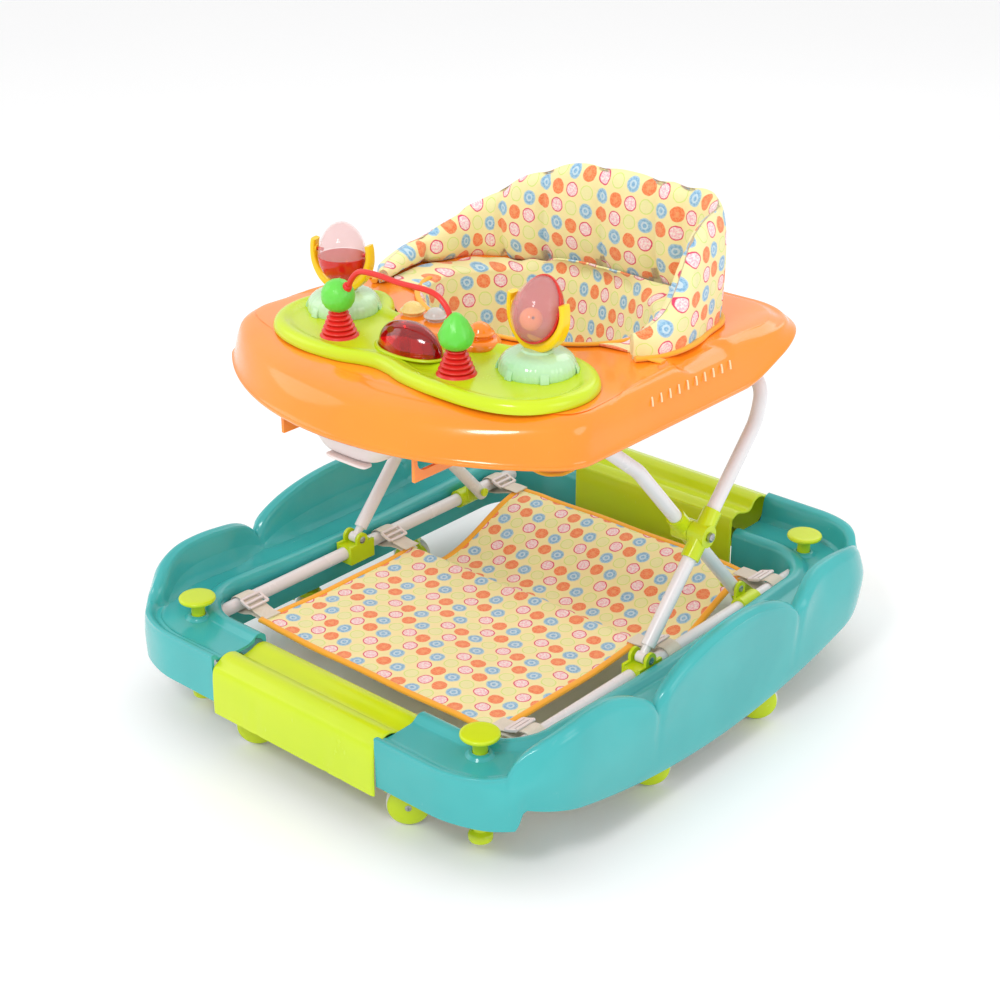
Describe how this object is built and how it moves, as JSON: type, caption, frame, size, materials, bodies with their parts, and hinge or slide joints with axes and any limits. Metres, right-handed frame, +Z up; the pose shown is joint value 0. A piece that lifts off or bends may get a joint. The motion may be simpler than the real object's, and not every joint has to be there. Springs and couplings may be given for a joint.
{
  "type": "baby walker",
  "caption": "Folding baby walker with a rocker base on swivel casters, crossed tube legs, a play tray with toys, a padded fabric seat and a foot mat.",
  "frame": {"origin": "on the floor, under the middle of the base", "axes": "+Z up, -Y to the front where the toys are, +X to the child's left"},
  "size_m": [0.632, 0.712, 0.59],
  "materials": {
    "teal_plastic": "smooth gloss, blow moulded",
    "lime_plastic": "smooth gloss",
    "orange_plastic": "smooth gloss",
    "white_tube": "white powder coat",
    "steel": "zinc plated",
    "white_plastic": "satin",
    "red_plastic": "gloss",
    "red_clear": "clear tinted gloss",
    "mint_plastic": "milky gloss",
    "yellow_plastic": "gloss",
    "cream_plastic": "gloss",
    "grey_plastic": "gloss",
    "green_plastic": "gloss, soft moulded",
    "egg_clear": "clear and tinted gloss",
    "wheel_plastic": "satin",
    "printed_fabric": "printed woven cover, padded",
    "webbing": "woven strap"
  },
  "bodies": {
    "base": {"base_side_right": "teal_plastic", "base_side_left": "teal_plastic", "front_cover": "lime_plastic", "rear_cover": "lime_plastic", "base_joiners": "steel", "side_tube_right": "white_tube", "side_tube_left": "white_tube", "rear_pivot_clamps": "lime_plastic", "base_guides": "teal_plastic", "foot_mat": "printed_fabric", "mat_straps": "webbing"},
    "inner_legs": {"inner_leg_tube": "white_tube", "inner_hub_sleeves": "lime_plastic", "hub_bolts": "steel"},
    "outer_legs": {"outer_leg_tube": "white_tube", "outer_hub_sleeves": "lime_plastic"},
    "slide_blocks": {"slide_blocks": "lime_plastic"},
    "tray": {"tray_shell": "orange_plastic", "tray_clips": "lime_plastic", "bar_guides": "white_plastic", "lock_box": "white_plastic", "toy_insert": "lime_plastic", "light_dome": "red_clear", "music_panel": "orange_plastic", "bellows": "red_plastic", "fruit_knobs": "green_plastic", "rod_arch": "red_plastic", "spinner_bases": "mint_plastic", "seat_back": "printed_fabric", "seat_sling": "printed_fabric"},
    "lock_lever": {"lock_lever": "lime_plastic"},
    "yellow_button": {"yellow_button": "cream_plastic"},
    "grey_button": {"grey_button": "grey_plastic"},
    "orange_button": {"orange_button": "orange_plastic"},
    "yoke_right": {"yoke_right": "yellow_plastic"},
    "yoke_left": {"yoke_left": "yellow_plastic"},
    "egg_right": {"egg_right": "egg_clear", "egg_bead": "orange_plastic"},
    "egg_left": {"egg_left": "egg_clear"},
    "stopper_front_right": {"stopper_front_right": "lime_plastic"},
    "stopper_front_left": {"stopper_front_left": "lime_plastic"},
    "stopper_rear_right": {"stopper_rear_right": "lime_plastic"},
    "stopper_rear_left": {"stopper_rear_left": "lime_plastic"},
    "caster_1": {"caster_fork_1": "lime_plastic"},
    "wheel_1": {"caster_wheel_1": "wheel_plastic"},
    "caster_2": {"caster_fork_2": "lime_plastic"},
    "wheel_2": {"caster_wheel_2": "wheel_plastic"},
    "caster_3": {"caster_fork_3": "lime_plastic"},
    "wheel_3": {"caster_wheel_3": "wheel_plastic"},
    "caster_4": {"caster_fork_4": "lime_plastic"},
    "wheel_4": {"caster_wheel_4": "wheel_plastic"},
    "caster_5": {"caster_fork_5": "lime_plastic"},
    "wheel_5": {"caster_wheel_5": "wheel_plastic"},
    "caster_6": {"caster_fork_6": "lime_plastic"},
    "wheel_6": {"caster_wheel_6": "wheel_plastic"},
    "caster_7": {"caster_fork_7": "lime_plastic"},
    "wheel_7": {"caster_wheel_7": "wheel_plastic"},
    "caster_8": {"caster_fork_8": "lime_plastic"},
    "wheel_8": {"caster_wheel_8": "wheel_plastic"}
  },
  "joints": [
    {"name": "fold", "type": "hinge", "parent": "base", "child": "inner_legs", "pos_m": [0, 0.165, 0.118], "axis": [1, 0, 0], "range_deg": [0, 40], "deforming": ["seat_sling"]},
    {"name": "leg_cross", "type": "hinge", "parent": "inner_legs", "child": "outer_legs", "pos_m": [0, 0.064, 0.23], "axis": [1, 0, 0], "range_deg": [-80.5, 0.5]},
    {"name": "tray_hinge", "type": "hinge", "parent": "outer_legs", "child": "tray", "pos_m": [0, 0.172, 0.388], "axis": [1, 0, 0], "range_deg": [-0.5, 45.6]},
    {"name": "block_hinge", "type": "hinge", "parent": "outer_legs", "child": "slide_blocks", "pos_m": [0, -0.037, 0.118], "axis": [1, 0, 0], "range_deg": [-0.5, 40.5]},
    {"name": "lever_pull", "type": "slide", "parent": "tray", "child": "lock_lever", "axis": [0, -1, 0], "range_m": [0, 0.008], "stiffness_N_per_m": 300},
    {"name": "yellow_press", "type": "slide", "parent": "tray", "child": "yellow_button", "axis": [0, 0, -1], "range_m": [0, 0.003], "stiffness_N_per_m": 300},
    {"name": "grey_press", "type": "slide", "parent": "tray", "child": "grey_button", "axis": [0, 0, -1], "range_m": [0, 0.003], "stiffness_N_per_m": 300},
    {"name": "orange_press", "type": "slide", "parent": "tray", "child": "orange_button", "axis": [0, 0, -1], "range_m": [0, 0.003], "stiffness_N_per_m": 300},
    {"name": "yoke_spin_right", "type": "hinge", "parent": "tray", "child": "yoke_right", "pos_m": [0.139, -0.12, 0.478], "axis": [0, 0, 1], "continuous": true},
    {"name": "egg_spin_right", "type": "hinge", "parent": "yoke_right", "child": "egg_right", "pos_m": [0.139, -0.12, 0.522], "axis": [1, 0, 0], "continuous": true},
    {"name": "yoke_spin_left", "type": "hinge", "parent": "tray", "child": "yoke_left", "pos_m": [-0.139, -0.12, 0.478], "axis": [0, 0, 1], "continuous": true},
    {"name": "egg_spin_left", "type": "hinge", "parent": "yoke_left", "child": "egg_left", "pos_m": [-0.139, -0.12, 0.522], "axis": [0.9613, 0.2756, 0], "continuous": true},
    {"name": "press_front_right", "type": "slide", "parent": "base", "child": "stopper_front_right", "axis": [0, 0, -1], "range_m": [0, 0.0135]},
    {"name": "press_front_left", "type": "slide", "parent": "base", "child": "stopper_front_left", "axis": [0, 0, -1], "range_m": [0, 0.0135]},
    {"name": "press_rear_right", "type": "slide", "parent": "base", "child": "stopper_rear_right", "axis": [0, 0, -1], "range_m": [0, 0.0135]},
    {"name": "press_rear_left", "type": "slide", "parent": "base", "child": "stopper_rear_left", "axis": [0, 0, -1], "range_m": [0, 0.0135]},
    {"name": "swivel_1", "type": "hinge", "parent": "base", "child": "caster_1", "pos_m": [0.117, -0.312, 0.06], "axis": [0, 0, 1], "continuous": true},
    {"name": "roll_1", "type": "hinge", "parent": "caster_1", "child": "wheel_1", "pos_m": [0.12455, -0.30544, 0.024], "axis": [-0.6561, 0.7547, 0], "continuous": true},
    {"name": "swivel_2", "type": "hinge", "parent": "base", "child": "caster_2", "pos_m": [0.262, -0.089, 0.06], "axis": [0, 0, 1], "continuous": true},
    {"name": "roll_2", "type": "hinge", "parent": "caster_2", "child": "wheel_2", "pos_m": [0.26955, -0.08244, 0.024], "axis": [-0.6561, 0.7547, 0], "continuous": true},
    {"name": "swivel_3", "type": "hinge", "parent": "base", "child": "caster_3", "pos_m": [0.273, 0.1, 0.06], "axis": [0, 0, 1], "continuous": true},
    {"name": "roll_3", "type": "hinge", "parent": "caster_3", "child": "wheel_3", "pos_m": [0.28055, 0.10656, 0.024], "axis": [-0.6561, 0.7547, 0], "continuous": true},
    {"name": "swivel_4", "type": "hinge", "parent": "base", "child": "caster_4", "pos_m": [0.117, 0.312, 0.06], "axis": [0, 0, 1], "continuous": true},
    {"name": "roll_4", "type": "hinge", "parent": "caster_4", "child": "wheel_4", "pos_m": [0.12455, 0.31856, 0.024], "axis": [-0.6561, 0.7547, 0], "continuous": true},
    {"name": "swivel_5", "type": "hinge", "parent": "base", "child": "caster_5", "pos_m": [-0.117, -0.312, 0.06], "axis": [0, 0, 1], "continuous": true},
    {"name": "roll_5", "type": "hinge", "parent": "caster_5", "child": "wheel_5", "pos_m": [-0.10945, -0.30544, 0.024], "axis": [-0.6561, 0.7547, 0], "continuous": true},
    {"name": "swivel_6", "type": "hinge", "parent": "base", "child": "caster_6", "pos_m": [-0.262, -0.089, 0.06], "axis": [0, 0, 1], "continuous": true},
    {"name": "roll_6", "type": "hinge", "parent": "caster_6", "child": "wheel_6", "pos_m": [-0.25445, -0.08244, 0.024], "axis": [-0.6561, 0.7547, 0], "continuous": true},
    {"name": "swivel_7", "type": "hinge", "parent": "base", "child": "caster_7", "pos_m": [-0.273, 0.1, 0.06], "axis": [0, 0, 1], "continuous": true},
    {"name": "roll_7", "type": "hinge", "parent": "caster_7", "child": "wheel_7", "pos_m": [-0.26545, 0.10656, 0.024], "axis": [-0.6561, 0.7547, 0], "continuous": true},
    {"name": "swivel_8", "type": "hinge", "parent": "base", "child": "caster_8", "pos_m": [-0.117, 0.312, 0.06], "axis": [0, 0, 1], "continuous": true},
    {"name": "roll_8", "type": "hinge", "parent": "caster_8", "child": "wheel_8", "pos_m": [-0.10945, 0.31856, 0.024], "axis": [-0.6561, 0.7547, 0], "continuous": true}
  ],
  "couplings": [
    {"joint": "leg_cross", "follows": "fold", "ratio": -2},
    {"joint": "tray_hinge", "follows": "fold", "ratio": 1.126},
    {"joint": "block_hinge", "follows": "fold", "ratio": 1}
  ]
}
